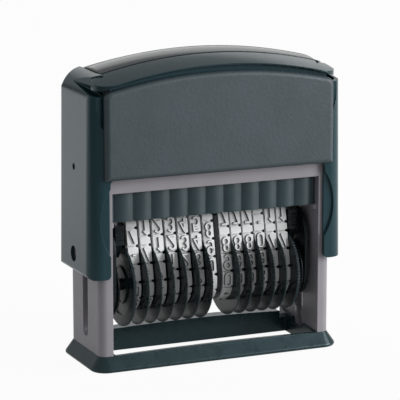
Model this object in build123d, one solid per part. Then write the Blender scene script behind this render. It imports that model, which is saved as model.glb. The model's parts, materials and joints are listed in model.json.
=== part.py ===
"""Self-inking numbering machine: thirteen number bands that turn over from the pad to the paper.

Frame: +X to the right, +Y to the back, +Z up, origin on the desk under the middle of the base.
All lengths are in millimetres, and the machine stands at rest with its cap up.
"""

import os
from math import asin, atan, cos, degrees, pi, sin, sqrt

from build123d import *

# ---- Number bands and setting wheels ----
band_width = 2.8
belt_thickness = 0.6
character_height = 1.1
character_pitch = 4.6  # along the band
characters_per_band = 13
first_notch_reach = 5.6  # from the middle of the nose, along the front of a band that isn't turned
notch_width = 0.3
# How many characters each band is turned forward.
left_band_turns = (0, 1, 2, 3, 4.1, 5.1, 0)
right_band_turns = (0.9, 0.9, 0.9, -0.15, 0.95, 0.95)
left_band_pitch = 3.5
right_band_pitch = 3.28
group_middle_x = 2.62  # middle of the gap between the two groups
group_gap = 1.64
hub_radius = 5.0
hub_clearance = 0.3  # between a hub and the belt round it
shaft_radius = 1.5
running_clearance = 0.06
flange_radius = 10.7
flange_thickness = 0.34
flange_clearance = 0.07  # between a flange and its own band
end_rim_width = 2.9
end_rim_height = 0.4
end_collar_width = 0.6

# ---- Print unit ----
nose_half_width = 1.9  # half of the flat under a character
print_reach = 8.65  # from the pivot to the characters' faces
nose_corner_radius = 0.2
divider_thickness = 0.9
divider_inset = 0.8  # how far the divider stays inside the bands' outline
end_block_gap = 0.3
end_block_length = 2.36
end_block_depth = 8.6
bevel_height = 3.5  # height of the bevelled part under an end block
bevel_taper = 0.55  # its narrow end over its wide end
bevel_gap = 0.15  # between that part and the end wheel
end_block_ribs = 4
rib_groove = 0.3
cheek_thickness = 1.0
cheek_radius = 7.4
cheek_gap = 1.0  # between an end block and its cheek
cheek_leg_gap = 1.2
neck_depth = 6.0
neck_height = 7.0
flange_head_room = 0.5  # between the flanges and the bridge over them
end_disc_radius = 7.6
end_disc_thickness = 0.4
end_disc_gap = 0.1
clip_thickness = 0.5
clip_radius = 2.3
pivot_journal_radius = 1.6
pivot_head_radius = 1.97
pivot_head_gap = 0.1
pivot_recess = 0.7  # how deep a pin's head lies in the cap's side
cam_pin_offset = 4.1
cam_pin_radius = 1.1
cam_clearance = 0.25
cam_groove_depth = 1.5
cam_groove_steps = 24

# ---- Motion ----
wheel_drop = 9.27  # wheel shaft below the pivot
paper_gap = 0.02
pad_gap = 0.25  # between the bands at rest and the pad
swing_gap = 0.56  # between the turning flanges and the cap's window

# ---- Inner frame and base ----
leg_thickness = 3.4
frame_half_depth = 10.6
frame_corner_radius = 2.0
foot_corner_radius = 1.65
slot_clearance = 0.15
beam_thickness = 1.6
frame_wall = 1.5
well_depth = 6.31  # of the hollow round the spring, in the frame's bridge
frame_cap_gap = 0.6  # between the frame's top and the cap's roof when pressed
ledge_height = 1.2
ledge_width = 0.8
ledge_setback = 1.2
base_height = 3.8
base_flare_width = 2.64
base_corner_radius = 4.6
front_sill_inner_y = 9.5
front_sill_crown = 0.35
rear_bar_inner_y = 6.95
rear_bar_end_height = 5.6
rear_bar_height = 6.25
rear_bar_half_width = 26.0
sill_end_gap = 0.5
side_rail_thickness = 0.8
rail_notch_depth = 2.75  # half of the notch that lets a cam pin down
base_edge_radius = 0.6
foot_wall = 0.7
foot_floor = 1.5

# ---- Ink cartridge ----
tray_height = 7.45
tray_side_gap = 0.4
tray_top_gap = 0.12
tray_foot_gap = 0.12
pad_stand_out = 0.25  # how far the pad hangs below the tray
tray_front_inset = 1.25  # front face behind the frame's front
pad_margin = 1.96  # the pad past the row of bands
pad_half_depth = 6.2
pad_recess = 3.2
flute_count = 11
flute_pitch = 4.95
flute_depth = 0.75
flute_round = 0.65  # how far a flute's edges lie behind its crest

# ---- Cap ----
cap_side_gap = 0.4
cap_front_gap = 0.25
cap_side_wall = 2.7
cap_front_wall = 1.25
cap_corner_radius = 3.6
cap_overlap = 4.67  # how far the arms reach below the pivot
window_reveal = 1.0  # how far the window's sides stand back from the legs
window_corner_radius = 1.3
arm_corner_radius = 1.2
shoulder_radius = 6.0
cap_draft = 0.7  # how much narrower each side is at the shoulder than at the arm's end
crown_height = 78.6
crown_radius = 118.0
bezel_thickness = 2.5
roof_thickness = 2.2
roof_corner_radius = 6.0
latch_hole_radius = 0.85
latch_hole_z = 51.0
scoop_radius = 15.5
scoop_reach = 2.6
scoop_z = 38.4
scoop_depth = 0.75
notch_front_drop = 6.4  # floor of a pull notch below the seat's middle, at the front
notch_back_drop = 3.8
notch_inner_y = 7.4  # where a notch starts beside the window
notch_knee_y = 5.0  # where its back wall turns towards the cap's side
notch_knee_out = 1.9  # and how far outside the seat
notch_reach_y = 2.4  # how far it runs past the middle at the cap's side
notch_side_width = 1.8
pocket_skin = 1.4  # what a pocket leaves of the cap's front wall and of the seat's end
pocket_side_skin = 0.9
pocket_end_gap = 0.6
pocket_drop = 10.0
shoulder_fall_y = 8.2  # where the shoulders begin to fall away to the back
shoulder_fall = 3.8
shoulder_fall_lead = 0.15  # how far outside the shoulder its cut starts
relief_length = 8.5
relief_width = 2.3
relief_knee_length = 5.6  # how far down the relief starts to close in
relief_knee_width = 1.8
relief_foot_width = 0.7
relief_depth = 0.7

# ---- Face plates, top bezel and index window ----
plate_half_width = 31.2
plate_crown_drop = 3.8
plate_crown_radius = 132.0
plate_rise = 1.8
plate_corner_radius = 2.2
plate_edge_radius = 1.2
relief_overlap = 0.4  # how far the relief runs in behind the plate
seat_half_width = 29.6
bezel_end_gap = 0.2
bezel_lip = 1.7
brow_half_width = 32.9
brow_end_back_y = 5.4  # the back of a brow's end, which stands clear of its notch
brow_end_back_radius = 1.5
brow_end_radius = 5.4
brow_shoulder_radius = 2.8
window_half_depth = 5.6
window_thickness = 1.0
window_dome = 0.55  # how much higher the window is along its middle
window_gap = 0.15
brow_top_step = 0.15  # how far the brow starts below the window's edge
brow_round_inset = 3.6
brow_round_drop = 1.0
brow_nose_height = 0.6
lip_radius = 0.7
card_thickness = 0.25

# ---- Return spring ----
spring_radius = 3.4
wire_radius = 0.4
spring_turns = 6
spring_post_radius = 2.4
spring_post_height = 3.0
spring_gap = 0.1
spring_end_slack = 0.6

# ---- Places worked out from the sizes above ----
pad_stack = pad_gap + pad_stand_out + tray_height + tray_top_gap
bridge_stack = beam_thickness + well_depth + frame_cap_gap + roof_thickness + bezel_thickness
press_travel = (crown_height - pad_stack - bridge_stack - 2 * print_reach - paper_gap) / 2
pivot_z = press_travel + paper_gap + print_reach
wheel_z = pivot_z - wheel_drop
belt_inner_radius = hub_radius + hub_clearance
band_thickness = belt_thickness + character_height
band_top_z = pivot_z + print_reach
nose_corner_z = band_top_z - band_thickness - nose_corner_radius
left_band_count = len(left_band_turns)
right_band_count = len(right_band_turns)
left_group_end = group_middle_x - group_gap / 2
right_group_start = group_middle_x + group_gap / 2
first_band_x = left_group_end - band_width - (left_band_count - 1) * left_band_pitch
last_band_x = right_group_start + (right_band_count - 1) * right_band_pitch + band_width
row_half_length = max(-first_band_x, last_band_x)
end_wheel_x = row_half_length + flange_clearance + flange_thickness + end_rim_height
block_inner_x = row_half_length + end_block_gap
block_outer_x = block_inner_x + end_block_length
cheek_inner_x = block_outer_x + cheek_gap
cheek_outer_x = cheek_inner_x + cheek_thickness
leg_inner_x = cheek_outer_x + cheek_leg_gap
leg_outer_x = leg_inner_x + leg_thickness
block_top_z = nose_corner_z + nose_corner_radius
block_bottom_z = wheel_z + flange_radius + flange_head_room

cap_inner_x = leg_outer_x + cap_side_gap
cap_outer_x = cap_inner_x + cap_side_wall
cap_shoulder_x = cap_outer_x - cap_draft
cap_inner_y = frame_half_depth + cap_front_gap
cap_outer_y = cap_inner_y + cap_front_wall
arm_bottom_z = pivot_z - cap_overlap
window_half_width = leg_inner_x + window_reveal
window_top_z = pivot_z + wheel_drop + flange_radius + swing_gap

crown_centre_z = crown_height - crown_radius
seat_z = crown_height - bezel_thickness
seat_radius = crown_radius - bezel_thickness
roof_radius = seat_radius - roof_thickness
frame_top_centre_z = crown_centre_z - press_travel - frame_cap_gap
bezel_half_width = seat_half_width - bezel_end_gap
brow_y = cap_outer_y + bezel_lip

pad_face_z = band_top_z + pad_gap
tray_bottom_z = pad_face_z + pad_stand_out
tray_top_z = tray_bottom_z + tray_height
beam_bottom_z = tray_top_z + tray_top_gap
tray_half_width = leg_inner_x - tray_side_gap
pad_half_length = row_half_length + pad_margin
tray_front_y = frame_half_depth - tray_front_inset
spring_floor_z = beam_bottom_z + beam_thickness

QUARTER_ARC_INSET = 1 - sqrt(0.5)  # how far inside its corner a quarter arc's middle lies
OVERCUT = 1.0  # how far a cutting shape runs past the faces it opens
FAR = 200.0  # past the machine in every direction


# ---- Shapes that several pieces share ----
def box(x0, x1, y0, y1, z0, z1):
    """A box between two corners."""
    middle = Pos((x0 + x1) / 2, (y0 + y1) / 2, (z0 + z1) / 2)
    return middle * Box(x1 - x0, y1 - y0, z1 - z0)


def rounded_column(half_x, half_y, radius, z0, z1):
    """An upright column with rounded corners."""
    return extrude(Pos(0, 0, z0) * RectangleRounded(2 * half_x, 2 * half_y, radius), z1 - z0)


def rod_x(radius, y, z, x0, x1):
    """A round rod along X."""
    return Pos((x0 + x1) / 2, y, z) * Rot(0, 90, 0) * Cylinder(radius, abs(x1 - x0))


def rod_y(radius, x, z, y0, y1):
    """A round rod along Y."""
    return Pos(x, (y0 + y1) / 2, z) * Rot(90, 0, 0) * Cylinder(radius, abs(y1 - y0))


def slab_x(face, x0, x1):
    """A face drawn in the YZ plane, made solid from x0 to x1."""
    return Pos(x0, 0, 0) * extrude(Plane.YZ * face, x1 - x0)


def slab_y(face, y0, y1):
    """A face drawn in the XZ plane, made solid from y0 to y1."""
    return Pos(0, y1, 0) * extrude(Plane.XZ * face, y1 - y0)


def closed_face(points):
    """A flat face inside a closed line through points."""
    return make_face(Polyline(*points, close=True))


def disc(radius, u, v):
    """A round face at u, v."""
    return Pos(u, v) * Circle(radius)


def hull_of(faces):
    """The face that a tight string round some faces would enclose."""
    return make_hull([edge for face in faces for edge in face.edges()])


def arch_face(half_width, bottom, centre_z, radius, corner, draft=0.0):
    """The front view of something with upright sides, an arched top and rounded shoulders.

    With a draft, the sides lean out by that much from the shoulders to the bottom.
    """
    side_top = centre_z + sqrt(radius**2 - half_width**2)
    foot = half_width + draft
    outline = [
        Line((-foot, bottom), (foot, bottom)),
        Line((foot, bottom), (half_width, side_top)),
        ThreePointArc((half_width, side_top), (0, centre_z + radius), (-half_width, side_top)),
        Line((-half_width, side_top), (-foot, bottom)),
    ]
    face = make_face(outline)
    return fillet(face.vertices().sort_by(Axis.Y)[-2:], corner)


def over_crown(section, half_width):
    """A section drawn in the YZ plane, carried along the crown's arc to both sides."""
    axle = Axis((0, 0, crown_centre_z), (0, 1, 0))
    half_turn = degrees(asin(half_width / crown_radius))
    start = (Plane.YZ * section).rotate(axle, -half_turn)
    return revolve(start, axis=axle, revolution_arc=2 * half_turn)


def mirrored(shape):
    """The same shape on the other side of the middle."""
    return mirror(shape, about=Plane.YZ)


def turned_about(shape):
    """The same shape at the back instead of the front."""
    return Rot(0, 0, 180) * shape


# ---- Number bands and wheels ----
def band_outline(inset):
    """A band's outline: round the wheel, up both sides and over the flat nose."""
    nose_radius = nose_corner_radius + band_thickness - inset
    wheel = disc(belt_inner_radius + band_thickness - inset, 0, wheel_z)
    corners = [disc(nose_radius, side * nose_half_width, nose_corner_z) for side in (-1, 1)]
    return hull_of([wheel] + corners)


def notch_reaches(length, turn):
    """Where a band's notches lie round its length: its characters, then a short blank, twice."""
    blank = (length - characters_per_band * character_pitch) / 2
    reach = first_notch_reach + turn * character_pitch
    reaches = []
    for index in range(characters_per_band):
        reaches.append(reach)
        reach += character_pitch
        if index in (characters_per_band // 2, characters_per_band - 1):
            reaches.append(reach)
            reach += blank
    return reaches


def band_solid(left, turn):
    """One number band, a belt with a notch between each two blocks."""
    outer = band_outline(0)
    loop = outer - band_outline(band_thickness)
    border = outer.faces()[0].outer_wire()
    length = border.length
    nose = border.param_at_point(Vector(0, band_top_z))
    ahead = -1 if border.tangent_at(nose).X > 0 else 1
    for reach in notch_reaches(length, turn):
        share = (nose + ahead * reach / length) % 1
        place = border.position_at(share)
        slope = degrees(Vector(1, 0, 0).get_signed_angle(border.tangent_at(share)))
        notch = Rectangle(notch_width, 2 * character_height)
        loop -= Pos(place.X, place.Y) * Rot(0, 0, slope) * notch
    return slab_x(loop, left, left + band_width)


def wheel_solid(left, side, is_end):
    """One setting wheel: a hub inside its band, and a thin flange on the side given by side."""
    right = left + band_width
    flange_inner = left - flange_clearance if side < 0 else right + flange_clearance
    flange_outer = flange_inner + side * flange_thickness
    wheel = rod_x(hub_radius, 0, wheel_z, min(left, flange_inner), max(right, flange_inner))
    wheel += rod_x(flange_radius, 0, wheel_z, *sorted((flange_inner, flange_outer)))
    if is_end:
        rim_outer = flange_outer + side * end_rim_height
        span = sorted((flange_outer, rim_outer))
        rim = rod_x(flange_radius, 0, wheel_z, *span)
        rim -= rod_x(flange_radius - end_rim_width, 0, wheel_z, *span)
        wheel += rim
        collar = rod_x(hub_radius, 0, wheel_z, *span)
        wheel += collar - rod_x(hub_radius - end_collar_width, 0, wheel_z, *span)
    return wheel - rod_x(shaft_radius + running_clearance, 0, wheel_z, -FAR, FAR)


def band_places():
    """Each band's left edge, its turn, and the side that its flange is on."""
    places = []
    for index, turn in enumerate(left_band_turns):
        places.append((first_band_x + left_band_pitch * index, turn, -1))
    for index, turn in enumerate(right_band_turns):
        places.append((right_group_start + right_band_pitch * index, turn, 1))
    return places


def bridge_section():
    """The bar inside the bands: as wide as the belts allow, hollowed to clear the flanges."""
    section = band_outline(band_thickness + running_clearance)
    return section - disc(flange_radius + flange_head_room, 0, wheel_z) - below_wheels()


def below_wheels():
    """A face over everything lower than the wheel shaft, in the YZ plane."""
    return Pos(0, wheel_z - FAR / 2) * Rectangle(FAR, FAR)


def band_bridge():
    """The bar that holds the characters flat, from cheek to cheek."""
    return slab_x(bridge_section(), -cheek_inner_x, cheek_inner_x)


def centre_divider():
    """The web between the two groups, held on the bridge and on the wheel shaft."""
    face = band_outline(divider_inset) - bridge_section()
    face -= disc(shaft_radius, 0, wheel_z)
    half = divider_thickness / 2
    return slab_x(face, group_middle_x - half, group_middle_x + half)


def cheek_right():
    """A side plate with the end block that closes the row of bands."""
    plate = hull_of([disc(cheek_radius, 0, pivot_z), disc(cheek_radius, 0, wheel_z)])
    cheek = slab_x(plate, cheek_inner_x, cheek_outer_x)
    half_depth = end_block_depth / 2
    block_middle_z = (block_top_z + block_bottom_z) / 2
    block = Pos(0, block_middle_z) * Rectangle(end_block_depth, block_top_z - block_bottom_z)
    cheek += slab_x(block, block_inner_x, block_outer_x)
    bevel_half = half_depth * bevel_taper
    bevel = closed_face(
        [
            (half_depth, block_bottom_z),
            (bevel_half, block_bottom_z - bevel_height),
            (-bevel_half, block_bottom_z - bevel_height),
            (-half_depth, block_bottom_z),
        ]
    )
    cheek += slab_x(bevel, end_wheel_x + bevel_gap, block_outer_x)
    neck = Pos(0, block_top_z - neck_height / 2) * Rectangle(neck_depth, neck_height)
    cheek += slab_x(neck, block_outer_x, cheek_inner_x)
    for index in range(end_block_ribs):
        groove_z = block_bottom_z + (block_top_z - block_bottom_z) * (index + 1) / (end_block_ribs + 1)
        for side in (-1, 1):
            cheek -= rod_x(rib_groove, side * half_depth, groove_z, block_inner_x, block_outer_x)
    cheek -= slab_x(bridge_section(), 0, cheek_inner_x)
    cheek -= rod_x(pivot_journal_radius, 0, pivot_z, cheek_inner_x, cheek_outer_x)
    cheek -= rod_x(shaft_radius, 0, wheel_z, cheek_inner_x, cheek_outer_x)
    return cheek - rod_x(cam_pin_radius, 0, pivot_z + cam_pin_offset, cheek_inner_x, cheek_outer_x)


def pivot_pin_right():
    """A headed pin that the print unit turns on, through the leg's slot into the cap's side."""
    head_inner = cap_inner_x + pivot_head_gap
    journal = rod_x(pivot_journal_radius, 0, pivot_z, cheek_inner_x, head_inner)
    return journal + rod_x(pivot_head_radius, 0, pivot_z, head_inner, cap_outer_x - pivot_recess)


def cam_pin_right():
    """The pin that runs in the leg's cam groove and turns the unit over."""
    tip = leg_inner_x + cam_groove_depth - cam_clearance
    return rod_x(cam_pin_radius, 0, pivot_z + cam_pin_offset, cheek_inner_x, tip)


def wheel_shaft():
    """The steel shaft that the wheels turn on."""
    end = cheek_outer_x + clip_thickness
    return rod_x(shaft_radius, 0, wheel_z, -end, end)


def shaft_clip_right():
    """A push-on clip at the shaft's end."""
    outer = cheek_outer_x + clip_thickness
    clip = rod_x(clip_radius, 0, wheel_z, cheek_outer_x, outer)
    return clip - rod_x(shaft_radius, 0, wheel_z, cheek_outer_x, outer)


def end_disc_right():
    """A thin disc on the shaft between the last wheel and the cheek."""
    inner = block_outer_x + end_disc_gap
    face = disc(end_disc_radius, 0, wheel_z) - disc(shaft_radius, 0, wheel_z)
    return slab_x(face, inner, inner + end_disc_thickness)


# ---- Inner frame and base ----
def leg_slot_face():
    """The long slot that a pivot pin runs down."""
    width = 2 * (pivot_journal_radius + slot_clearance)
    slot = SlotCenterToCenter(press_travel, width)
    return Pos(0, pivot_z - press_travel / 2) * Rot(0, 0, 90) * slot


def cam_groove(x0, x1):
    """The way of the cam pin while the cap goes down and the unit turns half round."""
    radius = cam_pin_radius + cam_clearance
    centres = []
    for step in range(cam_groove_steps + 1):
        turn = pi * step / cam_groove_steps
        pivot_now_z = pivot_z - press_travel * step / cam_groove_steps
        centres.append((cam_pin_offset * sin(turn), pivot_now_z + cam_pin_offset * cos(turn)))
    groove = slab_x(trace(Spline(*centres), 2 * radius), x0, x1)
    for centre in (centres[0], centres[-1]):
        groove += slab_x(disc(radius, *centre), x0, x1)
    return groove


def foot_column(z0, z1):
    """The reduced foot of the legs, which sits in the base's sockets."""
    return rounded_column(
        leg_outer_x - foot_wall, frame_half_depth - foot_wall, foot_corner_radius, z0, z1
    )


def inner_frame():
    """Two slotted legs and the bridge between them that carries the spring and the pad."""
    view = arch_face(leg_outer_x, foot_floor, frame_top_centre_z, roof_radius, roof_corner_radius)
    frame = slab_y(view, -FAR, FAR)
    frame &= rounded_column(leg_outer_x, frame_half_depth, frame_corner_radius, 0, FAR)
    frame -= box(-leg_inner_x, leg_inner_x, -FAR, FAR, 0, beam_bottom_z)
    well_y = frame_half_depth - frame_wall
    frame -= box(-leg_inner_x, leg_inner_x, -well_y, well_y, spring_floor_z, FAR)
    frame -= box(-FAR, FAR, -FAR, FAR, 0, base_height) - foot_column(0, base_height)
    for side in (-1, 1):
        leg_span = sorted((side * (leg_inner_x - OVERCUT), side * (leg_outer_x + OVERCUT)))
        frame -= slab_x(leg_slot_face(), *leg_span)
        groove_span = sorted((side * leg_inner_x, side * (leg_inner_x + cam_groove_depth)))
        frame -= cam_groove(*groove_span)
        ledge_span = sorted((side * leg_inner_x, side * (leg_inner_x - ledge_width)))
        ledge_end = frame_half_depth - ledge_setback
        ledge_top = tray_bottom_z - tray_foot_gap
        frame += box(*ledge_span, -ledge_end, ledge_end, ledge_top - ledge_height, ledge_top)
    return frame + spring_post(spring_floor_z, spring_floor_z + spring_post_height)


def crowned_face(half_width, bottom, end_height, middle_height):
    """The front view of a low wall whose top rises a little to the middle."""
    outline = [
        Line((-half_width, bottom), (half_width, bottom)),
        Line((half_width, bottom), (half_width, end_height)),
        ThreePointArc((half_width, end_height), (0, middle_height), (-half_width, end_height)),
        Line((-half_width, end_height), (-half_width, bottom)),
    ]
    return make_face(outline)


def base_foot():
    """The flared ring that stands on the paper, with its low front sill and higher rear bar."""
    footprint = RectangleRounded(
        2 * (leg_outer_x + base_flare_width),
        2 * (frame_half_depth + base_flare_width),
        base_corner_radius,
    )
    base = extrude(footprint, base_height, taper=degrees(atan(base_flare_width / base_height)))
    base = fillet(base.faces().sort_by(Axis.Z)[0].edges(), base_edge_radius)
    low = base_height / 2
    sill = crowned_face(
        leg_inner_x - sill_end_gap, low, base_height, base_height + front_sill_crown
    )
    base += slab_y(sill, -frame_half_depth, -front_sill_inner_y)
    bar = crowned_face(rear_bar_half_width, low, rear_bar_end_height, rear_bar_height)
    base += slab_y(bar, rear_bar_inner_y, frame_half_depth)
    opening_x = leg_inner_x - side_rail_thickness
    base -= box(-opening_x, opening_x, -front_sill_inner_y, rear_bar_inner_y, -OVERCUT, FAR)
    rail = closed_face(
        [
            (-frame_half_depth, low),
            (frame_half_depth, low),
            (frame_half_depth, rear_bar_end_height),
            (-frame_half_depth, base_height),
        ]
    )
    notch_floor = pivot_z - press_travel - cam_pin_offset - cam_pin_radius - cam_clearance
    for side in (-1, 1):
        rail_span = sorted((side * opening_x, side * leg_inner_x))
        base += slab_x(rail, *rail_span)
        base -= box(*rail_span, -rail_notch_depth, rail_notch_depth, notch_floor, FAR)
    between_legs = box(-leg_inner_x, leg_inner_x, -FAR, FAR, 0, FAR)
    return base - (foot_column(foot_floor, base_height) - between_legs)


# ---- Ink cartridge ----
def flute_face(left, back_y):
    """One flute of the grip, seen from above, rounded from side to side."""
    right = left + flute_pitch
    edge_y = -tray_front_y + flute_round
    crest = (left + flute_pitch / 2, -tray_front_y)
    outline = [
        Line((right, -back_y), (left, -back_y)),
        Line((left, -back_y), (left, edge_y)),
        ThreePointArc((left, edge_y), crest, (right, edge_y)),
        Line((right, edge_y), (right, -back_y)),
    ]
    return make_face(outline)


def pad_block(bottom):
    """The pad's block, from a bottom height up into the well."""
    return box(
        -pad_half_length,
        pad_half_length,
        -pad_half_depth,
        pad_half_depth,
        bottom,
        pad_face_z + pad_recess,
    )


def ink_pad_tray():
    """The cartridge body, fluted on its front and back, with a well for the pad underneath."""
    body_y = tray_front_y - flute_depth
    tray = box(-tray_half_width, tray_half_width, -body_y, body_y, tray_bottom_z, tray_top_z)
    for index in range(flute_count):
        left = (index - flute_count / 2) * flute_pitch
        ridge = extrude(Pos(0, 0, tray_bottom_z) * flute_face(left, body_y), tray_height)
        tray += ridge
        tray += turned_about(ridge)
    return tray - pad_block(0)


def ink_pad():
    """The felt pad in the cartridge's well."""
    return pad_block(pad_face_z)


# ---- Cap ----
def seat_cut():
    """What the bezel's seat takes off the top of the cap, between the shoulders."""
    slab = box(-seat_half_width, seat_half_width, -FAR, FAR, latch_hole_z, FAR)
    return slab - rod_y(seat_radius, 0, crown_centre_z, -FAR, FAR)


def notch_plan(start_x, end_gap):
    """A notch from above, from a start beside the seat and short of the full notch by a gap."""
    reach_y = notch_reach_y - end_gap
    return closed_face(
        [
            (start_x, -FAR),
            (FAR, -FAR),
            (FAR, reach_y),
            (cap_outer_x - notch_side_width, reach_y),
            (seat_half_width + notch_knee_out, -notch_knee_y - end_gap),
            (start_x, -notch_inner_y - end_gap),
        ]
    )


def notch_cut():
    """The pull notch at the front right corner, which leaves the bezel's end free."""
    front_y = -cap_outer_y - OVERCUT
    back_y = notch_reach_y + OVERCUT
    side = closed_face(
        [
            (back_y, seat_z - notch_back_drop),
            (front_y, seat_z - notch_front_drop),
            (front_y, FAR),
            (back_y, FAR),
        ]
    )
    return extrude(notch_plan(seat_half_width, 0), FAR) & slab_x(side, 0, cap_outer_x + OVERCUT)


def pocket_cut():
    """The deep pocket in the notch, inside the cap's outer skin, under the bezel's end."""
    inside = rounded_column(
        cap_shoulder_x - pocket_side_skin,
        cap_outer_y - pocket_skin,
        cap_corner_radius - pocket_skin,
        seat_z - pocket_drop,
        FAR,
    )
    return extrude(notch_plan(seat_half_width + pocket_skin, pocket_end_gap), FAR) & inside


def shoulder_fall_cut():
    """What the right shoulder lacks where it falls away to the back."""
    back_y = cap_outer_y + OVERCUT
    half_width = cap_shoulder_x + shoulder_fall_lead
    ends = []
    for drop, y in ((-shoulder_fall_lead, shoulder_fall_y), (shoulder_fall, back_y)):
        centre_z = crown_centre_z - drop
        face = arch_face(
            half_width, arm_bottom_z, centre_z, crown_radius, shoulder_radius, cap_draft
        )
        ends.append(Pos(0, y, 0) * (Plane.XZ * face))
    start_y = shoulder_fall_y + shoulder_fall_lead
    beside_seat = box(
        seat_half_width, cap_outer_x + OVERCUT, start_y, back_y, latch_hole_z + OVERCUT, FAR
    )
    return beside_seat - loft(ends)


def relief_cut():
    """The shallow relief that runs down from the notch beside the face plate."""
    inner = plate_half_width - relief_overlap
    top = seat_z - notch_front_drop + OVERCUT
    face = closed_face(
        [
            (inner, top),
            (inner + relief_width, top),
            (inner + relief_knee_width, top - relief_knee_length),
            (inner + relief_foot_width, top - relief_length),
            (inner, top - relief_length),
        ]
    )
    return slab_y(face, -cap_outer_y - OVERCUT, -cap_outer_y + relief_depth)


def cap_column():
    """The cap's plan, narrower at the shoulders than at the arms' ends, with rounded corners."""
    shoulder_z = crown_centre_z + sqrt(crown_radius**2 - cap_shoulder_x**2)
    slope = cap_draft / (shoulder_z - arm_bottom_z)
    ends = []
    for z in (arm_bottom_z - OVERCUT, crown_height + OVERCUT):
        half_x = cap_outer_x - slope * (z - arm_bottom_z)
        ends.append(
            Pos(0, 0, z) * RectangleRounded(2 * half_x, 2 * cap_outer_y, cap_corner_radius)
        )
    return loft(ends)


def cap_shell():
    """The cap: two arms outside the legs, walls in front and behind, and an arched roof."""
    window = Pos(0, window_top_z / 2) * Rectangle(2 * window_half_width, window_top_z)
    window = fillet(window.vertices().sort_by(Axis.Y)[-2:], window_corner_radius)
    view = arch_face(
        cap_shoulder_x, arm_bottom_z, crown_centre_z, crown_radius, shoulder_radius, cap_draft
    )
    view -= window
    view = fillet(view.vertices().group_by(Axis.Y)[0], arm_corner_radius)
    shell = slab_y(view, -cap_outer_y, cap_outer_y) & cap_column()
    hollow = slab_y(
        arch_face(cap_inner_x, 0, crown_centre_z, roof_radius, roof_corner_radius),
        -cap_inner_y,
        cap_inner_y,
    )
    hollow &= rounded_column(
        cap_inner_x, cap_inner_y, frame_corner_radius + cap_front_gap, 0, FAR
    )
    shell -= hollow
    shell -= seat_cut()
    scoop_x = window_half_width + scoop_reach - scoop_radius
    scoop_back_y = -cap_outer_y + scoop_depth
    scoop = rod_y(scoop_radius, scoop_x, scoop_z, -cap_outer_y - OVERCUT, scoop_back_y)
    scoop &= box(window_half_width - OVERCUT, FAR, -FAR, FAR, 0, FAR)
    rear_scoop = mirrored(turned_about(scoop))
    for cut in (notch_cut(), pocket_cut(), shoulder_fall_cut(), relief_cut(), scoop, rear_scoop):
        shell -= cut
        shell -= mirrored(cut)
    shell -= rod_x(pivot_head_radius + running_clearance, 0, pivot_z, -FAR, FAR)
    shell -= rod_x(latch_hole_radius, 0, latch_hole_z, -FAR, FAR)
    roof_z = crown_centre_z + roof_radius
    post = spring_post(roof_z - spring_post_height, roof_z + roof_thickness / 2)
    return shell + post


def spring_post(z0, z1):
    """The round post that keeps an end of the spring in place."""
    return Pos(0, 0, (z0 + z1) / 2) * Cylinder(spring_post_radius, z1 - z0)


def front_plate():
    """The raised plate on the cap's front, with rounded edges."""
    centre_z = crown_height - plate_crown_drop - plate_crown_radius
    face = arch_face(
        plate_half_width, window_top_z, centre_z, plate_crown_radius, plate_corner_radius
    )
    plate = slab_y(face, -cap_outer_y - plate_rise, -cap_outer_y)
    rim = plate.faces().sort_by(Axis.Y)[0].edges()
    return fillet(rim, plate_edge_radius)


def bezel_section():
    """Half of the bezel's section: a flat seat for the window, then a rolled brow and its lip."""
    window_edge = window_half_depth + window_gap
    floor_z = crown_height - window_thickness - card_thickness
    edge_z = crown_height - brow_top_step
    nose_z = seat_z + brow_nose_height
    round_middle = (brow_y - brow_round_inset, crown_height - brow_round_drop)
    lip_middle = (
        brow_y - lip_radius * QUARTER_ARC_INSET,
        seat_z + brow_nose_height * QUARTER_ARC_INSET,
    )
    outline = [
        Line((0, seat_z), (0, floor_z)),
        Line((0, floor_z), (window_edge, floor_z)),
        Line((window_edge, floor_z), (window_edge, edge_z)),
        ThreePointArc((window_edge, edge_z), round_middle, (brow_y, nose_z)),
        ThreePointArc((brow_y, nose_z), lip_middle, (brow_y - lip_radius, seat_z)),
        Line((brow_y - lip_radius, seat_z), (0, seat_z)),
    ]
    return make_face(outline)


def index_bezel():
    """The arched frame over the cap: a bed for the index window between two rolled brows."""
    half = over_crown(bezel_section(), cap_outer_x)
    plan = closed_face(
        [
            (0, FAR),
            (bezel_half_width, FAR),
            (bezel_half_width, -notch_inner_y - bezel_end_gap),
            (brow_half_width, -brow_end_back_y),
            (brow_half_width, -brow_y),
            (0, -brow_y),
        ]
    )
    back_corner = plan.vertices().group_by(Axis.X)[-1].sort_by(Axis.Y)[-1]
    plan = fillet(back_corner, brow_end_back_radius)
    front_corner = plan.vertices().group_by(Axis.Y)[0].sort_by(Axis.X)[-1]
    plan = fillet(front_corner, brow_end_radius)
    plan += mirror(plan, about=Plane.YZ)
    view = arch_face(
        brow_half_width, latch_hole_z, crown_centre_z, crown_radius, brow_shoulder_radius
    )
    return (half + turned_about(half)) & extrude(plan, FAR) & slab_y(view, -FAR, FAR)


def window_strip(section):
    """A section carried along the crown and cut to the window's length."""
    strip = over_crown(section, cap_outer_x)
    return strip & box(-bezel_half_width, bezel_half_width, -FAR, FAR, 0, FAR)


def index_card():
    """The paper index card under the window."""
    middle = Pos(0, crown_height - window_thickness - card_thickness / 2)
    return window_strip(middle * Rectangle(2 * window_half_depth, card_thickness))


def index_window():
    """The clear window over the index card, domed from front to back."""
    edge = window_half_depth
    bottom = crown_height - window_thickness
    outline = [
        Line((-edge, bottom), (edge, bottom)),
        Line((edge, bottom), (edge, crown_height)),
        ThreePointArc((edge, crown_height), (0, crown_height + window_dome), (-edge, crown_height)),
        Line((-edge, crown_height), (-edge, bottom)),
    ]
    return window_strip(make_face(outline))


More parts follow.
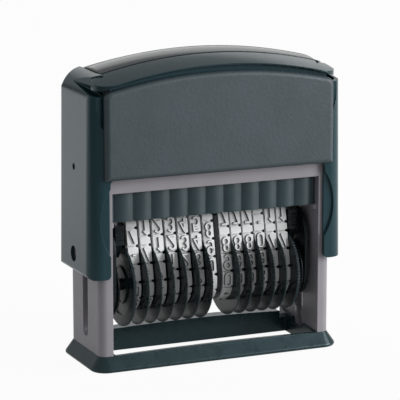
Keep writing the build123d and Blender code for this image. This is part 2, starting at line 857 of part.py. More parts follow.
# ---- Return spring ----
def return_spring():
    """The coil spring that lifts the cap."""
    bottom = spring_floor_z + wire_radius + spring_gap
    top = crown_centre_z + roof_radius - wire_radius - spring_gap
    height = top - bottom - spring_end_slack
    coil = Helix(height / spring_turns, height, spring_radius, center=(0, 0, bottom))
    section = Plane(origin=coil @ 0, z_dir=coil % 0) * Circle(wire_radius)
    return sweep(section, path=coil, is_frenet=True)


# ---- All the pieces, each under its own name ----
def pieces():
    """Every piece of the machine, by name."""
    made = {
        "base_foot": base_foot(),
        "inner_frame": inner_frame(),
        "return_spring": return_spring(),
        "ink_pad_tray": ink_pad_tray(),
        "ink_pad": ink_pad(),
        "cap_shell": cap_shell(),
        "front_plate": front_plate(),
        "rear_plate": turned_about(front_plate()),
        "index_bezel": index_bezel(),
        "index_card": index_card(),
        "index_window": index_window(),
        "band_bridge": band_bridge(),
        "centre_divider": centre_divider(),
        "wheel_shaft": wheel_shaft(),
    }
    sided = {
        "cheek": cheek_right(),
        "pivot_pin": pivot_pin_right(),
        "cam_pin": cam_pin_right(),
        "shaft_clip": shaft_clip_right(),
        "end_disc": end_disc_right(),
    }
    for name, shape in sided.items():
        made[name + "_right"] = shape
        made[name + "_left"] = mirrored(shape)
    places = band_places()
    for number, (left, turn, side) in enumerate(places, 1):
        is_end = number in (1, len(places))
        made[f"number_band_{number:02d}"] = band_solid(left, turn)
        made[f"setting_wheel_{number:02d}"] = wheel_solid(left, side, is_end)
    return made


os.makedirs("parts", exist_ok=True)
for name, shape in pieces().items():
    shape.label = name
    export_step(shape, f"parts/{name}.step")
    print(name, round(shape.volume, 2))
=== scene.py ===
"""Looks of the self-inking numbering machine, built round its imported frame. Lengths are in metres."""

import json
import math

import bmesh
import bpy
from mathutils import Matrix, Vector


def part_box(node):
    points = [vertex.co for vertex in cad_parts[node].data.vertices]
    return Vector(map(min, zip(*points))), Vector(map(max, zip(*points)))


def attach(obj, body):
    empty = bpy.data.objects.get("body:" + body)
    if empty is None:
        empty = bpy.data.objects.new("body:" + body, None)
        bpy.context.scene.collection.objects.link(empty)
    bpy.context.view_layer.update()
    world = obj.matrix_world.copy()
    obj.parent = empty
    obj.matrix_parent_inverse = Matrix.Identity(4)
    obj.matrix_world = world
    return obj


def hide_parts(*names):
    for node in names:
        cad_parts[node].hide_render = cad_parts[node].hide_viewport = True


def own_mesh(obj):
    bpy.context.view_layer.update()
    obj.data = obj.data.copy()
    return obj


MM = 0.001

# ---- Camera, at the photograph's viewing angle ----
PHOTO_WIDTH_PX = 400
FOCAL_LENGTH_PX = 2330
SENSOR_WIDTH_MM = 36
CAMERA_PLACE = Vector((-234.05, -536.22, 164.96)) * MM
CAMERA_TARGET = Vector((-0.19, 0, 39.47)) * MM

# ---- Number bands ----
BAND_COUNT = 13
NOSE_HALF_WIDTH = 1.9 * MM
NOSE_RADIUS = 1.9 * MM
CHARACTER_PITCH = 4.6 * MM
CHARACTERS_PER_BAND = 13
FIRST_NOTCH_REACH = 5.6 * MM
BAND_TURNS = (0, 1, 2, 3, 4.1, 5.1, 0, 0.9, 0.9, 0.9, -0.15, 0.95, 0.95)
BELT_THICKNESS = 0.55 * MM
BELT_DEPTH = 1.1 * MM
BLOCK_GAP = 0.26 * MM
BLOCK_SOFTNESS = 0.07 * MM
PICK_NOTCH_WIDTH = 0.5 * MM
PICK_NOTCH_LENGTH = 0.22 * MM
FIGURE_RELIEF = 0.5 * MM
FIGURE_HALF_WIDTH = 0.78 * MM
FIGURE_HALF_HEIGHT = 1.68 * MM
STROKE_TOP_WIDTH = 0.42 * MM
STROKE_FOOT_WIDTH = 0.72 * MM
STROKE_STEP = 0.5 * MM
STROKE_JOIN = 0.01 * MM  # ends nearer than this close a stroke
LEAST_BEND = 0.6  # keeps a stroke's sharp corners from running out too far
BLOCK_ROW = 0.5 * MM
BLOCK_SINK = 0.05 * MM  # how far a block runs into its belt
BELT_STEPS = 120
FALLING_RING = "/-.0987|654321"
RISING_RING = "890-/.1|234567"
DASH_RING = "-0987654|321/."
BAND_RINGS = (
    FALLING_RING, FALLING_RING, FALLING_RING, FALLING_RING, FALLING_RING, FALLING_RING,
    RISING_RING, RISING_RING, RISING_RING, RISING_RING, DASH_RING, FALLING_RING, FALLING_RING,
)

# ---- Setting wheels ----
FLANGE_THICKNESS = 0.34 * MM
FLANGE_CLEARANCE = 0.07 * MM
HUB_RADIUS = 5.0 * MM
BORE_RADIUS = 1.56 * MM
RIM_TEETH = 84
TOOTH_DEPTH = 0.14 * MM
TOOTH_STEPS = 4
END_RIM_WIDTH = 2.9 * MM
END_RIM_HEIGHT = 0.4 * MM
RIM_SOFTNESS = 0.08 * MM
HUB_LIP_WIDTH = 0.6 * MM
HUB_LIP_SLOPE = 0.02 * MM

# ---- Return spring ----
SPRING_TURNS = 7
SPRING_STEPS = 40
WIRE_RADIUS = 0.4 * MM
WIRE_SIDES = 12
SPRING_SMOOTH_ANGLE = 60

# ---- Light ----
SKY_LEVEL = 0.45
SKY_HORIZON = 0.15
SKY_RISE = (0.02, 0.12)
SKY_PANEL = 1.0
PANEL_RISE = (0.03, 0.12)
PANEL_FADES = (("Z", 0.50, 0.34), ("Y", 0.35, 0.70), ("X", -0.20, 0.20))
FLOOR_HALF_SIZE = 1.5
FLOOR_FADE = 0.15
FLOOR_FALLOFF = (0.42, 0.90, 0)
FLOOR_PALE = (0.85, 0.85, 0.85)
FLOOR_DIM = (0.34, 0.34, 0.34)
FLOOR_GLOW = 0.95
FLOOR_MIRRORED = 0.8
SOFTBOX_PLACE = (0.60, -0.47, 0.27)
SOFTBOX_SIZE = 0.5
SOFTBOX_POWER = 6.6
SOFTBOX_TARGET = Vector((0, 0, 0.04))

# ---- Surface ----
PATCH_SIZE = 9 * MM
HANDLED_SIZE = 2.2 * MM
NOISE_SPAN = (0.3, 0.7)
EDGE_SPAN = (0.998, 0.93)  # how well the softened and the true normal agree
EDGE_SAMPLES = 6
COOL_SHINE = (0.75, 1.0, 1.08)

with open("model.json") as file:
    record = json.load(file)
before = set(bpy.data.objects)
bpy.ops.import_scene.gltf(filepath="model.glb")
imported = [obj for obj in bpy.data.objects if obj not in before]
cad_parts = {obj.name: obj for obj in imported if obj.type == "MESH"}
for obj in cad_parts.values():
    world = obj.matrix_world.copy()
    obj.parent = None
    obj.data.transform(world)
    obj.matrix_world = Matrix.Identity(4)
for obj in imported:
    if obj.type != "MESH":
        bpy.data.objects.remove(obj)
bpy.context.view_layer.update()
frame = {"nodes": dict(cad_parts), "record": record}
nodes = frame["nodes"]


# ---- Material building ----
def socket(node, name):
    """A node's input by its name."""
    return next(s for s in node.inputs if s.name == name and s.enabled)


def add_node(tree, kind, **inputs):
    """A node with some of its inputs set, or linked where the value is another node's output."""
    node = tree.nodes.new(kind)
    for name, value in inputs.items():
        set_input(tree, node, name.replace("_", " "), value)
    return node


def set_input(tree, node, name, value):
    """Sets one input of a node, by linking it if the value is an output."""
    target = socket(node, name)
    if isinstance(value, bpy.types.NodeSocket):
        tree.links.new(value, target)
    else:
        target.default_value = value


def noise(tree, place, size, detail=3, roughness=0.5):
    """Noise whose features are about size across, from 0 to 1."""
    node = add_node(tree, "ShaderNodeTexNoise", Vector=place, Scale=1 / size)
    node.inputs["Detail"].default_value = detail
    node.inputs["Roughness"].default_value = roughness
    return node.outputs["Fac"]


def remap(tree, value, low, high, to_low, to_high):
    """A value moved from one range to another, and kept inside it."""
    node = tree.nodes.new("ShaderNodeMapRange")
    set_input(tree, node, "Value", value)
    for name, number in (
        ("From Min", low), ("From Max", high), ("To Min", to_low), ("To Max", to_high),
    ):
        node.inputs[name].default_value = number
    return node.outputs["Result"]


def mix_colours(tree, share, first, second):
    """Two colours mixed by a share."""
    node = tree.nodes.new("ShaderNodeMix")
    node.data_type = "RGBA"
    tree.links.new(share, node.inputs["Factor"])
    for index, value in ((6, first), (7, second)):
        if isinstance(value, bpy.types.NodeSocket):
            tree.links.new(value, node.inputs[index])
        else:
            node.inputs[index].default_value = (*value, 1)
    return node.outputs[2]


def combine(tree, operation, first, second):
    """The result of a Math node on two values, such as their product."""
    node = tree.nodes.new("ShaderNodeMath")
    node.operation = operation
    for index, value in enumerate((first, second)):
        if isinstance(value, bpy.types.NodeSocket):
            tree.links.new(value, node.inputs[index])
        else:
            node.inputs[index].default_value = value
    return node.outputs[0]


def shade(colour, factor):
    """A colour made lighter or darker."""
    return tuple(min(1.0, c * factor) for c in colour)


def moulded(
    name, colour, roughness, grain_size=0.35 * MM, grain_depth=0.004 * MM, mottle=0.10,
    roughness_spread=0.06, edge_radius=0.25 * MM, edge_highlight_gain=1.5, metallic=0.0,
    stretch=(1, 1, 1), shine=0.5, shine_tint=(1, 1, 1), sheen=0.0,
):
    """A moulded or turned surface: uneven tint, fine grain, softened edges whose colour is painted lighter,
    a painted highlight that also stands for slight wear.
    """
    material = bpy.data.materials.new(name)
    material.use_nodes = True
    tree = material.node_tree
    shader = tree.nodes["Principled BSDF"]
    place = tree.nodes.new("ShaderNodeTexCoord").outputs["Object"]
    mapping = add_node(tree, "ShaderNodeMapping", Vector=place, Scale=stretch)
    grain_place = mapping.outputs["Vector"]
    soft_edge = tree.nodes.new("ShaderNodeBevel")
    soft_edge.samples = EDGE_SAMPLES
    soft_edge.inputs["Radius"].default_value = edge_radius
    geometry = tree.nodes.new("ShaderNodeNewGeometry")
    facing = tree.nodes.new("ShaderNodeVectorMath")
    facing.operation = "DOT_PRODUCT"
    tree.links.new(soft_edge.outputs["Normal"], facing.inputs[0])
    tree.links.new(geometry.outputs["Normal"], facing.inputs[1])
    at_edge = remap(tree, facing.outputs["Value"], *EDGE_SPAN, 0, 1)
    patches = remap(tree, noise(tree, place, PATCH_SIZE, detail=4), *NOISE_SPAN, 0, 1)
    body = mix_colours(tree, patches, shade(colour, 1 - mottle), shade(colour, 1 + mottle))
    # Painted highlight: edges get a lighter colour, which also stands for slight wear.
    edge_highlight_and_wear = mix_colours(tree, at_edge, body, shade(colour, edge_highlight_gain))
    tree.links.new(edge_highlight_and_wear, shader.inputs["Base Color"])
    handled = noise(tree, grain_place, HANDLED_SIZE, detail=6, roughness=0.65)
    smoothest = roughness - roughness_spread
    roughest = roughness + roughness_spread
    gloss = remap(tree, handled, *NOISE_SPAN, smoothest, roughest)
    tree.links.new(gloss, shader.inputs["Roughness"])
    grain = noise(tree, grain_place, grain_size, detail=2)
    bump = add_node(tree, "ShaderNodeBump", Height=grain, Normal=soft_edge.outputs["Normal"])
    bump.inputs["Strength"].default_value = 1.0
    bump.inputs["Distance"].default_value = grain_depth
    tree.links.new(bump.outputs["Normal"], shader.inputs["Normal"])
    shader.inputs["Metallic"].default_value = metallic
    shader.inputs["Specular IOR Level"].default_value = shine
    shader.inputs["Specular Tint"].default_value = (*shine_tint, 1)
    shader.inputs["Sheen Weight"].default_value = sheen
    return material


MATERIALS = {
    "base_plastic": moulded(
        "base_plastic", (0.006, 0.018, 0.022), 0.30, grain_depth=0.004 * MM, shine_tint=COOL_SHINE
    ),
    "frame_plastic": moulded(
        "frame_plastic", (0.268, 0.256, 0.280), 0.36, mottle=0.04, grain_depth=0.002 * MM, edge_highlight_gain=1.15
    ),
    "spring_steel": moulded("spring_steel", (0.55, 0.55, 0.56), 0.28, metallic=1.0, edge_radius=0.05 * MM),
    "pad_plastic": moulded("pad_plastic", (0.022, 0.042, 0.050), 0.36, grain_depth=0.002 * MM),
    "cap_plastic": moulded(
        "cap_plastic", (0.011, 0.034, 0.042), 0.17, grain_size=1.2 * MM, grain_depth=0.0004 * MM,
        mottle=0.06, shine_tint=COOL_SHINE,
    ),
    "plate_plastic": moulded(
        "plate_plastic", (0.042, 0.061, 0.071), 0.50, grain_size=0.8 * MM, grain_depth=0.045 * MM,
        mottle=0.10, edge_highlight_gain=1.6,
    ),
    "bezel_plastic": moulded(
        "bezel_plastic", (0.010, 0.026, 0.032), 0.16, grain_size=1.0 * MM, grain_depth=0.0004 * MM,
        shine_tint=COOL_SHINE,
    ),
    "card": moulded("card", (0.05, 0.055, 0.06), 0.7),
    "window_plastic": moulded(
        "window_plastic", (0.010, 0.018, 0.022), 0.12, grain_size=2 * MM, grain_depth=0.001 * MM,
        edge_radius=0.3 * MM,
    ),
    "bridge_plastic": moulded("bridge_plastic", (0.006, 0.010, 0.011), 0.5),
    "unit_plastic": moulded("unit_plastic", (0.006, 0.011, 0.013), 0.30, shine=0.3),
    "steel": moulded(
        "steel", (0.07, 0.07, 0.075), 0.34, metallic=1.0, edge_radius=0.12 * MM, stretch=(1, 8, 8)
    ),
    "wheel_plastic": moulded(
        "wheel_plastic", (0.009, 0.020, 0.023), 0.24, shine=0.35, grain_depth=0.002 * MM,
        edge_radius=0.08 * MM, edge_highlight_gain=2.2,
    ),
    "band_rubber": moulded(
        "band_rubber", (0.72, 0.74, 0.74), 0.42, grain_size=0.5 * MM, grain_depth=0.012 * MM,
        mottle=0.16, edge_radius=0.08 * MM, edge_highlight_gain=1.25,
    ),
    # Colour of the figures' sloping sides: painted shade along the strokes, partly ink residue.
    "ink_and_shade_rubber": moulded(
        "ink_and_shade_rubber", (0.10, 0.105, 0.11), 0.5, grain_size=0.3 * MM, grain_depth=0.004 * MM,
        mottle=0.4, edge_radius=0.05 * MM, edge_highlight_gain=1.0,
    ),
    "ink_felt": moulded(
        "ink_felt", (0.012, 0.012, 0.016), 0.85, grain_size=0.25 * MM, grain_depth=0.10 * MM,
        mottle=0.3, sheen=0.25,
    ),
}


def dress_frame():
    """Gives every CAD node the finish of its slot."""
    slots = {part["node"]: part["material_slot"] for part in frame["record"]["subparts"]}
    for name, obj in nodes.items():
        obj.data.materials.clear()
        obj.data.materials.append(MATERIALS[slots[name]])


# ---- Pieces ----
def add_piece(name, mesh, body, materials, replaced=()):
    """Puts a mesh in the scene as a piece that rides on a body and stands for some CAD nodes."""
    obj = bpy.data.objects.new(name, mesh)
    bpy.context.scene.collection.objects.link(obj)
    for material in materials:
        obj.data.materials.append(MATERIALS[material])
    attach(obj, body)
    if replaced:
        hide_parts(*replaced)
    return obj


def mesh_from(build, name, smooth_angle=35):
    """A mesh made from a bmesh, with smooth shading up to an angle."""
    bmesh.ops.recalc_face_normals(build, faces=build.faces)
    mesh = bpy.data.meshes.new(name)
    build.to_mesh(mesh)
    build.free()
    for polygon in mesh.polygons:
        polygon.use_smooth = True
    mesh.set_sharp_from_angle(angle=math.radians(smooth_angle))
    return mesh


# ---- Number bands ----
class BandLine:
    """A band's outer line in the YZ plane, measured from the middle of its nose down its front."""

    def __init__(self, wheel_radius, wheel_z, top_z):
        self.wheel = (0.0, wheel_z)
        nose_z = top_z - NOSE_RADIUS
        rise = nose_z - wheel_z
        span = math.hypot(NOSE_HALF_WIDTH, rise)
        lean = math.acos((wheel_radius - NOSE_RADIUS) / span)
        tangent = math.atan2(rise, -NOSE_HALF_WIDTH) + lean
        straight = math.sqrt(span**2 - (wheel_radius - NOSE_RADIUS) ** 2)
        front = (-NOSE_HALF_WIDTH, nose_z)
        back = (NOSE_HALF_WIDTH, nose_z)
        quarter = math.pi / 2
        nose_arc = NOSE_RADIUS * (tangent - quarter)
        wheel_arc = wheel_radius * 2 * (3 * quarter - tangent)
        rear_tangent = math.pi - tangent
        self.parts = [
            ("line", (0.0, top_z), math.pi, NOSE_HALF_WIDTH),
            ("arc", front, quarter, nose_arc, NOSE_RADIUS),
            ("line", self.on(front, NOSE_RADIUS, tangent), tangent + quarter, straight),
            ("arc", self.wheel, tangent, wheel_arc, wheel_radius),
            ("line", self.on(self.wheel, wheel_radius, rear_tangent), rear_tangent + quarter, straight),
            ("arc", back, rear_tangent, nose_arc, NOSE_RADIUS),
            ("line", (NOSE_HALF_WIDTH, top_z), math.pi, NOSE_HALF_WIDTH),
        ]
        self.length = sum(part[3] for part in self.parts)

    @staticmethod
    def on(centre, radius, angle):
        """A point on a circle."""
        return (centre[0] + radius * math.cos(angle), centre[1] + radius * math.sin(angle))

    def at(self, reach):
        """The point at a reach along the line, and the outward normal there."""
        left = reach % self.length
        for part in self.parts:
            if left <= part[3]:
                break
            left -= part[3]
        if part[0] == "line":
            _, start, heading, _ = part
            point = (start[0] + left * math.cos(heading), start[1] + left * math.sin(heading))
            normal = heading - math.pi / 2
        else:
            _, centre, angle, _, radius = part
            normal = angle + left / radius
            point = self.on(centre, radius, normal)
        return point, (math.cos(normal), math.sin(normal))

    def place(self, x, reach, depth):
        """A point under the line by a depth."""
        (y, z), (ny, nz) = self.at(reach)
        return Vector((x, y - ny * depth, z - nz * depth))


def band_blocks(length, turn):
    """Each block of a band as (start, length, its place in the ring), with None for a short blank."""
    blank = (length - CHARACTERS_PER_BAND * CHARACTER_PITCH) / 2
    reach = FIRST_NOTCH_REACH + turn * CHARACTER_PITCH
    blocks = []
    for index in range(CHARACTERS_PER_BAND):
        blocks.append((reach, CHARACTER_PITCH, index))
        reach += CHARACTER_PITCH
        if index in (CHARACTERS_PER_BAND // 2, CHARACTERS_PER_BAND - 1):
            blocks.append((reach, blank, None))
            reach += blank
    return blocks


def add_block(build, line, left, width, start, length):
    """A block with soft upper edges, notched at both right corners and bent to the band's line."""
    start += BLOCK_GAP / 2
    length -= BLOCK_GAP
    rows = round(length / BLOCK_ROW)
    middle = length - 2 * PICK_NOTCH_LENGTH
    reaches = [0, *(PICK_NOTCH_LENGTH + middle * k / rows for k in range(rows + 1)), length]
    acrosses = [0, width / 2, width - PICK_NOTCH_WIDTH, width]
    flat = bmesh.new()
    grid = [[flat.verts.new((across, reach, 0)) for across in acrosses] for reach in reaches]
    for i in range(len(reaches) - 1):
        for j in range(len(acrosses) - 1):
            notched = i in (0, len(reaches) - 2) and j == len(acrosses) - 2
            if not notched:
                flat.faces.new((grid[i][j], grid[i][j + 1], grid[i + 1][j + 1], grid[i + 1][j]))
    loose = [vert for vert in flat.verts if not vert.link_faces]
    bmesh.ops.delete(flat, geom=loose, context="VERTS")
    rim = [edge for edge in flat.edges if edge.is_boundary]
    made = bmesh.ops.extrude_edge_only(flat, edges=rim)
    for vert in made["geom"]:
        if isinstance(vert, bmesh.types.BMVert):
            vert.co.z = FIGURE_RELIEF - BELT_DEPTH - BLOCK_SINK
    bmesh.ops.bevel(flat, geom=rim, offset=BLOCK_SOFTNESS, segments=2, affect="EDGES", profile=0.5)
    for vert in flat.verts:
        vert.co = line.place(left + vert.co.x, start + vert.co.y, FIGURE_RELIEF - vert.co.z)
    append_mesh(build, flat)


def append_mesh(build, part):
    """Adds one bmesh to another."""
    mesh = bpy.data.meshes.new("part")
    part.to_mesh(mesh)
    part.free()
    build.from_mesh(mesh)
    bpy.data.meshes.remove(mesh)


def add_belt(build, line, left, width):
    """The belt under the blocks, a closed loop."""
    part = bmesh.new()
    rings = []
    for k in range(BELT_STEPS):
        reach = line.length * k / BELT_STEPS
        rings.append([
            part.verts.new(line.place(x, reach, depth))
            for x, depth in (
                (left, BELT_DEPTH),
                (left + width, BELT_DEPTH),
                (left + width, BELT_DEPTH + BELT_THICKNESS),
                (left, BELT_DEPTH + BELT_THICKNESS),
            )
        ])
    for k in range(BELT_STEPS):
        here, there = rings[k], rings[(k + 1) % BELT_STEPS]
        for j in range(4):
            part.faces.new((here[j], here[(j + 1) % 4], there[(j + 1) % 4], there[j]))
    append_mesh(build, part)


def arc(centre_x, centre_y, radius_x, radius_y, start, end):
    """Points along an arc of an oval, from one angle to another in degrees."""
    steps = max(4, round(abs(end - start) / 20))
    points = []
    for k in range(steps + 1):
        angle = math.radians(start + (end - start) * k / steps)
        points.append((centre_x + radius_x * math.cos(angle), centre_y + radius_y * math.sin(angle)))
    return points


def figure_lines(character):
    """The strokes of a figure, as lines through points, in shares of its half width and height."""
    six = [
        arc(0, -0.45, 1, 0.55, 0, 360),
        [(-1, -0.45), *arc(0, 0.5, 1, 0.5, 180, 40)],
    ]
    lines = {
        "0": [arc(0, 0.5, 1, 0.5, 0, 180) + arc(0, -0.5, 1, 0.5, 180, 360) + [(1, 0.5)]],
        "1": [[(-0.55, 0.6), (0.15, 1), (0.15, -1)]],
        "2": [[*arc(0, 0.5, 1, 0.5, 165, -25), (-1, -1), (1, -1)]],
        "3": [arc(0, 0.5, 0.9, 0.5, 155, -90), arc(0, -0.47, 1, 0.53, 90, -155)],
        "4": [[(0.35, -1), (0.35, 1), (-1, -0.4), (1, -0.4)]],
        "5": [[(0.9, 1), (-0.75, 1), (-0.85, 0.1), *arc(0, -0.38, 1, 0.62, 120, -145)]],
        "6": six,
        "7": [[(-1, 1), (1, 1), (-0.35, -1)]],
        "8": [arc(0, 0.5, 0.85, 0.5, 0, 360), arc(0, -0.47, 1, 0.53, 0, 360)],
        "9": [[(-x, -y) for x, y in stroke] for stroke in six],
        "/": [[(-0.75, -1), (0.75, 1)]],
        "-": [[(-0.5, 0), (0.5, 0)]],
        ".": [[(0, -0.95), (0, -0.8)]],
    }
    return lines[character]


def split_line(points, longest):
    """A line through points with no stretch longer than a length."""
    finer = [points[0]]
    for start, end in zip(points, points[1:]):
        parts = max(1, math.ceil((end - start).length / longest))
        finer += [start.lerp(end, k / parts) for k in range(1, parts + 1)]
    return finer


def add_stroke(part, points):
    """A raised stroke with sloping sides along a line. It is closed where the line's ends meet."""
    closed = (points[0] - points[-1]).length < STROKE_JOIN
    if closed:
        points = points[:-1]
    count = len(points)
    rings = []
    for k, point in enumerate(points):
        before = points[(k - 1) % count] if closed or k > 0 else point
        after = points[(k + 1) % count] if closed or k < count - 1 else point
        along = (point - before).normalized() + (after - point).normalized()
        along.normalize()
        bend = along.dot((after - point).normalized() if k < count - 1 else along)
        across = Vector((-along.y, along.x, 0)) / max(LEAST_BEND, bend)
        ring = []
        for side, width, height in (
            (1, STROKE_FOOT_WIDTH, 0), (1, STROKE_TOP_WIDTH, FIGURE_RELIEF),
            (-1, STROKE_TOP_WIDTH, FIGURE_RELIEF), (-1, STROKE_FOOT_WIDTH, 0),
        ):
            ring.append(part.verts.new(point + across * (side * width / 2) + Vector((0, 0, height))))
        rings.append(ring)
    for k in range(count if closed else count - 1):
        here, there = rings[k], rings[(k + 1) % count]
        for j in range(4):
            face = part.faces.new((here[j], here[(j + 1) % 4], there[(j + 1) % 4], there[j]))
            # The sloping sides and open ends take the dark second material: painted shade along the stroke
            # edges, partly ink residue.
            face.material_index = 0 if j == 1 else 1
    if not closed:
        for ring in (rings[0], rings[-1]):
            part.faces.new(ring).material_index = 1


def add_figure(build, line, middle_x, middle_reach, character):
    """One raised figure, bent to the band's line. It stands upside down on the band's front."""
    part = bmesh.new()
    for stroke in figure_lines(character):
        points = [Vector((x * FIGURE_HALF_WIDTH, y * FIGURE_HALF_HEIGHT, 0)) for x, y in stroke]
        add_stroke(part, split_line(points, STROKE_STEP))
    for vert in part.verts:
        depth = FIGURE_RELIEF - vert.co.z
        vert.co = line.place(middle_x + vert.co.x, middle_reach + vert.co.y, depth)
    append_mesh(build, part)


def build_bands():
    """All the number bands, with their raised figures."""
    for index in range(BAND_COUNT):
        name = f"band_{index + 1:02d}"
        node = f"number_{name}"
        low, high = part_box(node)
        wheel_radius = high.y
        line = BandLine(wheel_radius, low.z + wheel_radius, high.z)
        width = high.x - low.x
        build = bmesh.new()
        add_belt(build, line, low.x, width - PICK_NOTCH_WIDTH)
        for start, length, place in band_blocks(line.length, BAND_TURNS[index]):
            add_block(build, line, low.x, width, start, length)
            if place is not None:
                character = BAND_RINGS[index].replace("|", "")[place]
                add_figure(build, line, low.x + width / 2, start + length / 2, character)
        materials = ("band_rubber", "ink_and_shade_rubber")
        add_piece(name, mesh_from(build, name), "print_unit", materials, (node,))


# ---- Setting wheels ----
def lathe(build, profile, centre_z, steps, teeth_from=None):
    """A closed profile of (x, radius) turned about the wheel shaft, toothed outside a radius."""
    rings = []
    for k in range(steps):
        angle = 2 * math.pi * k / steps
        cut = TOOTH_DEPTH if k % TOOTH_STEPS >= TOOTH_STEPS / 2 else 0
        ring = []
        for x, radius in profile:
            if teeth_from is not None and radius >= teeth_from:
                radius -= cut
            ring.append(build.verts.new((x, radius * math.cos(angle), centre_z + radius * math.sin(angle))))
        rings.append(ring)
    count = len(profile)
    for k in range(steps):
        here, there = rings[k], rings[(k + 1) % steps]
        for j in range(count):
            build.faces.new((here[j], here[(j + 1) % count], there[(j + 1) % count], there[j]))


def build_wheels():
    """The setting wheels: a hub in the band and a thin flange with a finely toothed rim."""
    for index in range(BAND_COUNT):
        number = index + 1
        node = f"setting_wheel_{number:02d}"
        band_low, band_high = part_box(f"number_band_{number:02d}")
        low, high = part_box(node)
        radius = high.y
        centre_z = (low.z + high.z) / 2
        side = -1 if low.x < band_low.x - FLANGE_CLEARANCE / 2 else 1
        near = band_low.x - FLANGE_CLEARANCE if side < 0 else band_high.x + FLANGE_CLEARANCE
        far = near + side * FLANGE_THICKNESS
        hub_end = band_high.x if side < 0 else band_low.x
        soft = RIM_SOFTNESS
        outside = [(far, radius - soft), (far, HUB_RADIUS)]
        if number in (1, BAND_COUNT):
            rim = far + side * END_RIM_HEIGHT
            outside = [
                (rim, radius - soft), (rim, radius - END_RIM_WIDTH + soft),
                (rim - side * soft, radius - END_RIM_WIDTH), (far, radius - END_RIM_WIDTH - soft),
                (far, HUB_RADIUS), (rim - side * soft, HUB_RADIUS - HUB_LIP_SLOPE),
                (rim - side * soft, HUB_RADIUS - HUB_LIP_WIDTH),
                (far, HUB_RADIUS - HUB_LIP_WIDTH - HUB_LIP_SLOPE),
            ]
            far = rim
        profile = [(hub_end, BORE_RADIUS), (hub_end, HUB_RADIUS), (near, HUB_RADIUS)]
        profile += [(near, radius - soft), (near + side * soft, radius), (far - side * soft, radius)]
        profile += outside
        profile.append((profile[-1][0], BORE_RADIUS))
        build = bmesh.new()
        lathe(build, profile, centre_z, RIM_TEETH * TOOTH_STEPS, teeth_from=radius - 1.5 * soft)
        body = f"wheel_{number:02d}"
        mesh = mesh_from(build, body)
        add_piece(f"{body}_rim", mesh, body, ("wheel_plastic",), (node,))


# ---- Return spring ----
def build_spring():
    """The coil spring, with its end turns wound close."""
    low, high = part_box("return_spring")
    middle = (low + high) / 2
    radius = (high.x - low.x) / 2 - WIRE_RADIUS
    rise = high.z - low.z - 2 * WIRE_RADIUS
    steps = SPRING_TURNS * SPRING_STEPS
    build = bmesh.new()
    rings = []
    for k in range(steps + 1):
        turn = SPRING_TURNS * k / steps
        open_share = min(1, max(0, (turn - 1) / (SPRING_TURNS - 2)))
        closed_rise = 2 * WIRE_RADIUS * (min(turn, 1) + max(0, turn - SPRING_TURNS + 1))
        z = low.z + WIRE_RADIUS + closed_rise + (rise - 4 * WIRE_RADIUS) * open_share
        angle = 2 * math.pi * turn
        outward = Vector((math.cos(angle), math.sin(angle), 0))
        centre = Vector((middle.x, middle.y, z)) + outward * radius
        ring = []
        for j in range(WIRE_SIDES):
            side = 2 * math.pi * j / WIRE_SIDES
            offset = outward * math.cos(side) + Vector((0, 0, math.sin(side)))
            ring.append(build.verts.new(centre + offset * WIRE_RADIUS))
        rings.append(ring)
    for here, there in zip(rings, rings[1:]):
        for j in range(WIRE_SIDES):
            following = (j + 1) % WIRE_SIDES
            build.faces.new((here[j], here[following], there[following], there[j]))
    build.faces.new(rings[0])
    build.faces.new(rings[-1])
    mesh = mesh_from(build, "coil_spring", SPRING_SMOOTH_ANGLE)
    spring = add_piece(
        "coil_spring", mesh, "base", ("spring_steel",), ("return_spring",)
    )
    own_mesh(spring)


# ---- Stage ----
def aim(obj, place, target):
    """Stands an object at a place, looking at a target."""
    obj.location = place
    obj.rotation_mode = "QUATERNION"
    obj.rotation_quaternion = (target - place).to_track_quat("-Z", "Y")


def add_camera():
    """The camera at the photograph's viewing angle."""
    data = bpy.data.cameras.new("camera")
    data.sensor_width = SENSOR_WIDTH_MM
    data.lens = SENSOR_WIDTH_MM * FOCAL_LENGTH_PX / PHOTO_WIDTH_PX
    data.clip_start = 0.01
    data.clip_end = 20
    camera = bpy.data.objects.new("camera", data)
    bpy.context.scene.collection.objects.link(camera)
    aim(camera, CAMERA_PLACE, CAMERA_TARGET)
    bpy.context.scene.camera = camera


def add_lamp(name, place, size, power):
    """A soft square lamp that looks at the object."""
    data = bpy.data.lights.new(name, "AREA")
    data.size = size
    data.energy = power
    lamp = bpy.data.objects.new(name, data)
    bpy.context.scene.collection.objects.link(lamp)
    aim(lamp, Vector(place), SOFTBOX_TARGET)


def white_share(tree, backdrop):
    """How much of the white background a ray meets. The camera sees it everywhere, also through
    clear pieces, and a reflection shows it where the backdrop is."""
    rays = tree.nodes.new("ShaderNodeLightPath").outputs
    seen = combine(tree, "MAXIMUM", rays["Is Camera Ray"], rays["Is Transmission Ray"])
    mirrored = combine(tree, "MULTIPLY", rays["Is Glossy Ray"], backdrop)
    return combine(tree, "MAXIMUM", seen, mirrored)


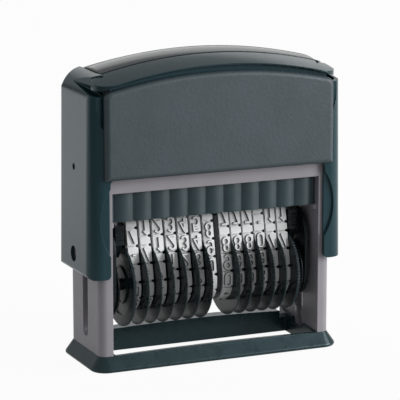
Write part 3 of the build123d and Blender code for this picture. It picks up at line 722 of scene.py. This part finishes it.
def add_world():
    """White behind the object for the camera. The light comes from a soft white sky with a
    brighter panel behind the object and a dim strip along the horizon."""
    world = bpy.data.worlds.new("studio")
    bpy.context.scene.world = world
    world.use_nodes = True
    tree = world.node_tree
    tree.nodes.clear()
    direction = tree.nodes.new("ShaderNodeTexCoord").outputs["Generated"]
    parts = tree.nodes.new("ShaderNodeSeparateXYZ")
    tree.links.new(direction, parts.inputs[0])
    level = remap(tree, parts.outputs["Z"], *SKY_RISE, SKY_HORIZON, SKY_LEVEL)
    panel = remap(tree, parts.outputs["Z"], *PANEL_RISE, 0, 1)
    for axis, dark, bright in PANEL_FADES:
        fade = remap(tree, parts.outputs[axis], dark, bright, 0, 1)
        panel = combine(tree, "MULTIPLY", panel, fade)
    both = combine(tree, "ADD", level, combine(tree, "MULTIPLY", panel, SKY_PANEL))
    studio = add_node(tree, "ShaderNodeBackground", Strength=both, Color=(1, 1, 1, 1))
    white = add_node(tree, "ShaderNodeBackground", Strength=1.0, Color=(1, 1, 1, 1))
    mix = tree.nodes.new("ShaderNodeMixShader")
    tree.links.new(white_share(tree, panel), mix.inputs[0])
    tree.links.new(studio.outputs[0], mix.inputs[1])
    tree.links.new(white.outputs[0], mix.inputs[2])
    output = tree.nodes.new("ShaderNodeOutputWorld")
    tree.links.new(mix.outputs[0], output.inputs["Surface"])


def add_floor():
    """A pale floor that stays white to the camera except for a soft shadow. In reflections and bounced
    light its colour is darker towards the front, a painted light falloff.
    """
    build = bmesh.new()
    bmesh.ops.create_grid(build, x_segments=1, y_segments=1, size=FLOOR_HALF_SIZE)
    mesh = bpy.data.meshes.new("floor")
    build.to_mesh(mesh)
    build.free()
    floor = bpy.data.objects.new("floor", mesh)
    bpy.context.scene.collection.objects.link(floor)
    material = bpy.data.materials.new("floor")
    material.use_nodes = True
    tree = material.node_tree
    shader = tree.nodes["Principled BSDF"]
    place = tree.nodes.new("ShaderNodeTexCoord").outputs["Object"]
    away = tree.nodes.new("ShaderNodeVectorMath")
    away.operation = "DOT_PRODUCT"
    tree.links.new(place, away.inputs[0])
    away.inputs[1].default_value = FLOOR_FALLOFF
    # Painted light falloff: the floor's colour darkens towards the front for reflections and bounced light.
    lit = remap(tree, away.outputs["Value"], -FLOOR_FADE, FLOOR_FADE, 0, 1)
    colour = mix_colours(tree, lit, FLOOR_DIM, FLOOR_PALE)
    tree.links.new(colour, shader.inputs["Base Color"])
    shader.inputs["Roughness"].default_value = 0.9
    shader.inputs["Specular IOR Level"].default_value = 0.0
    glow = add_node(tree, "ShaderNodeEmission", Color=(1, 1, 1, 1), Strength=1.0)
    seen_white = white_share(tree, combine(tree, "MULTIPLY", lit, FLOOR_MIRRORED))
    share = remap(tree, seen_white, 0, 1, 0, FLOOR_GLOW)
    mix = tree.nodes.new("ShaderNodeMixShader")
    tree.links.new(share, mix.inputs[0])
    tree.links.new(shader.outputs[0], mix.inputs[1])
    tree.links.new(glow.outputs[0], mix.inputs[2])
    tree.links.new(mix.outputs[0], tree.nodes["Material Output"].inputs["Surface"])
    mesh.materials.append(material)


dress_frame()
build_bands()
build_wheels()
build_spring()
add_camera()
add_world()
add_floor()
add_lamp("front_softbox", SOFTBOX_PLACE, SOFTBOX_SIZE, SOFTBOX_POWER)
bpy.context.scene.view_settings.view_transform = "Standard"
